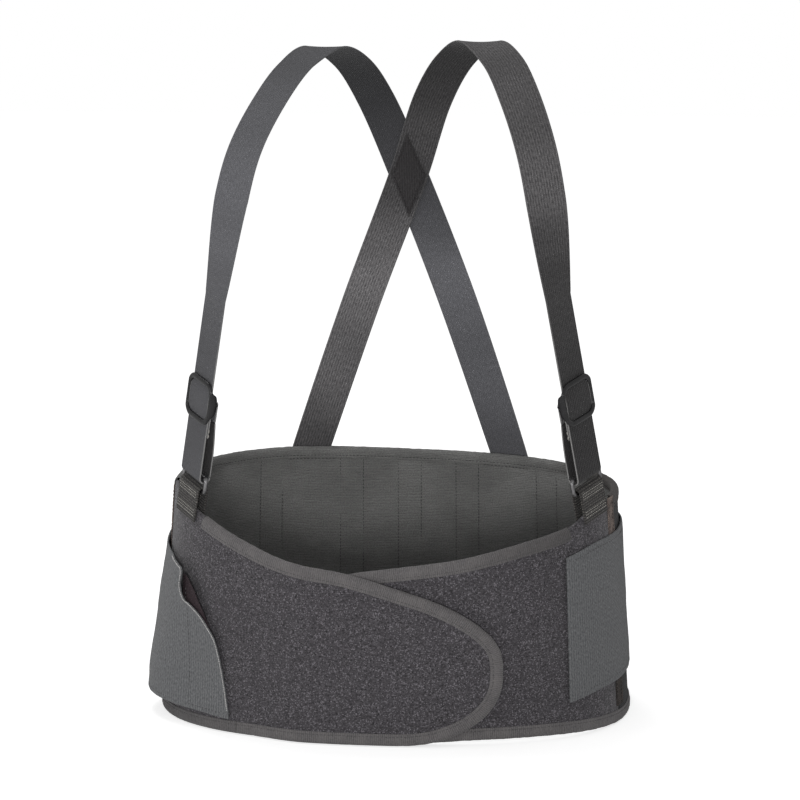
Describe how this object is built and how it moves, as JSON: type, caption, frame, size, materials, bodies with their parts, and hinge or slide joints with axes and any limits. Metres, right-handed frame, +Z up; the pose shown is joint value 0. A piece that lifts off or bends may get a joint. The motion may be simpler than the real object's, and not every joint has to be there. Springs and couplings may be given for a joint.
{
  "type": "lumbar support belt",
  "caption": "Lumbar support belt with an overlapping hook-and-loop front, elastic side pulls, boned stretch back and crossed adjustable shoulder straps.",
  "frame": {"origin": "middle of the waist at the level of the belt's lower rim", "axes": "+Z up the wearer's back, the wearer faces -Y, +X to the right of somebody facing the wearer"},
  "size_m": [0.4183, 0.28, 0.577],
  "materials": {
    "pile": "brushed loop pile, charcoal",
    "binding": "ribbed binding tape, grey",
    "elastic": "woven elastic, dark grey",
    "pull": "twill elastic, mid grey",
    "hook": "hook tape, dark brown-grey",
    "tape": "woven tape, brown-grey",
    "strap": "ribbed elastic webbing, grey",
    "webbing": "coarse nylon webbing",
    "plastic": "moulded black",
    "metal": "plated wire ring",
    "stay": "flat flexible stay"
  },
  "bodies": {
    "belt": {"back_panel": "elastic", "back_cover": "elastic", "stay_1": "stay", "stay_2": "stay", "stay_3": "stay", "stay_4": "stay", "stay_5": "stay", "hem_back_top": "elastic", "edge_lower": "binding", "seam_tape_left": "tape", "seam_tape_right": "tape", "front_side_left": "pile", "front_side_right": "pile", "edge_side_left": "binding", "edge_side_right": "binding", "pull_band_left": "pull", "pull_band_right": "pull", "pull_anchor_left": "tape", "pull_anchor_right": "tape", "loop_left": "webbing", "loop_right": "webbing", "strap_left": "strap", "strap_right": "strap", "strap_return_left": "strap", "strap_return_right": "strap", "cross_patch": "strap"},
    "front_left": {"front_flap_left": "pile", "edge_flap_left": "binding", "tongue_hook": "hook"},
    "front_right": {"front_flap_right": "pile", "edge_flap_right": "binding"},
    "pull_left": {"pull_end_left": "pull", "pull_hook_left": "hook"},
    "pull_right": {"pull_end_right": "pull", "pull_hook_right": "hook"},
    "ring_left": {"ring_left": "metal"},
    "ring_right": {"ring_right": "metal"},
    "slider_left": {"slider_left": "plastic", "strap_tab_left": "strap"},
    "slider_right": {"slider_right": "plastic", "strap_tab_right": "strap"}
  },
  "joints": [
    {"name": "front_left_fold", "type": "hinge", "parent": "belt", "child": "front_left", "pos_m": [-0.12398, -0.11765, 0], "axis": [-0.0212, -0.0209, -0.9996], "range_deg": [0, 105]},
    {"name": "front_right_fold", "type": "hinge", "parent": "belt", "child": "front_right", "pos_m": [0.14959, -0.10459, 0], "axis": [-0.031, 0.0226, 0.9993], "range_deg": [0, 32]},
    {"name": "pull_left_peel", "type": "hinge", "parent": "belt", "child": "pull_left", "pos_m": [-0.20203, 0.03917, 0], "axis": [-0.0614, 0.0127, -0.998], "range_deg": [0, 75]},
    {"name": "pull_right_peel", "type": "hinge", "parent": "belt", "child": "pull_right", "pos_m": [0.20203, 0.03917, 0], "axis": [-0.0614, -0.0127, 0.998], "range_deg": [0, 75]},
    {"name": "ring_left_swing", "type": "hinge", "parent": "belt", "child": "ring_left", "pos_m": [-0.1649, -0.07382, 0.20461], "axis": [-0.5775, 0.7895, 0.2076], "range_deg": [-7, 7]},
    {"name": "ring_right_swing", "type": "hinge", "parent": "belt", "child": "ring_right", "pos_m": [0.16805, -0.06926, 0.20855], "axis": [0.5261, 0.8202, 0.2246], "range_deg": [-7, 7]},
    {"name": "slider_left_slide", "type": "slide", "parent": "belt", "child": "slider_left", "axis": [0.1647, -0.1364, 0.9769], "range_m": [-0.018, 0.055], "deforming": ["strap_return_left"]},
    {"name": "slider_right_slide", "type": "slide", "parent": "belt", "child": "slider_right", "axis": [-0.1673, -0.1591, 0.973], "range_m": [-0.018, 0.055], "deforming": ["strap_return_right"]}
  ],
  "couplings": [
    {"joint": "front_right_fold", "follows": "front_left_fold", "ratio": 0.3}
  ]
}
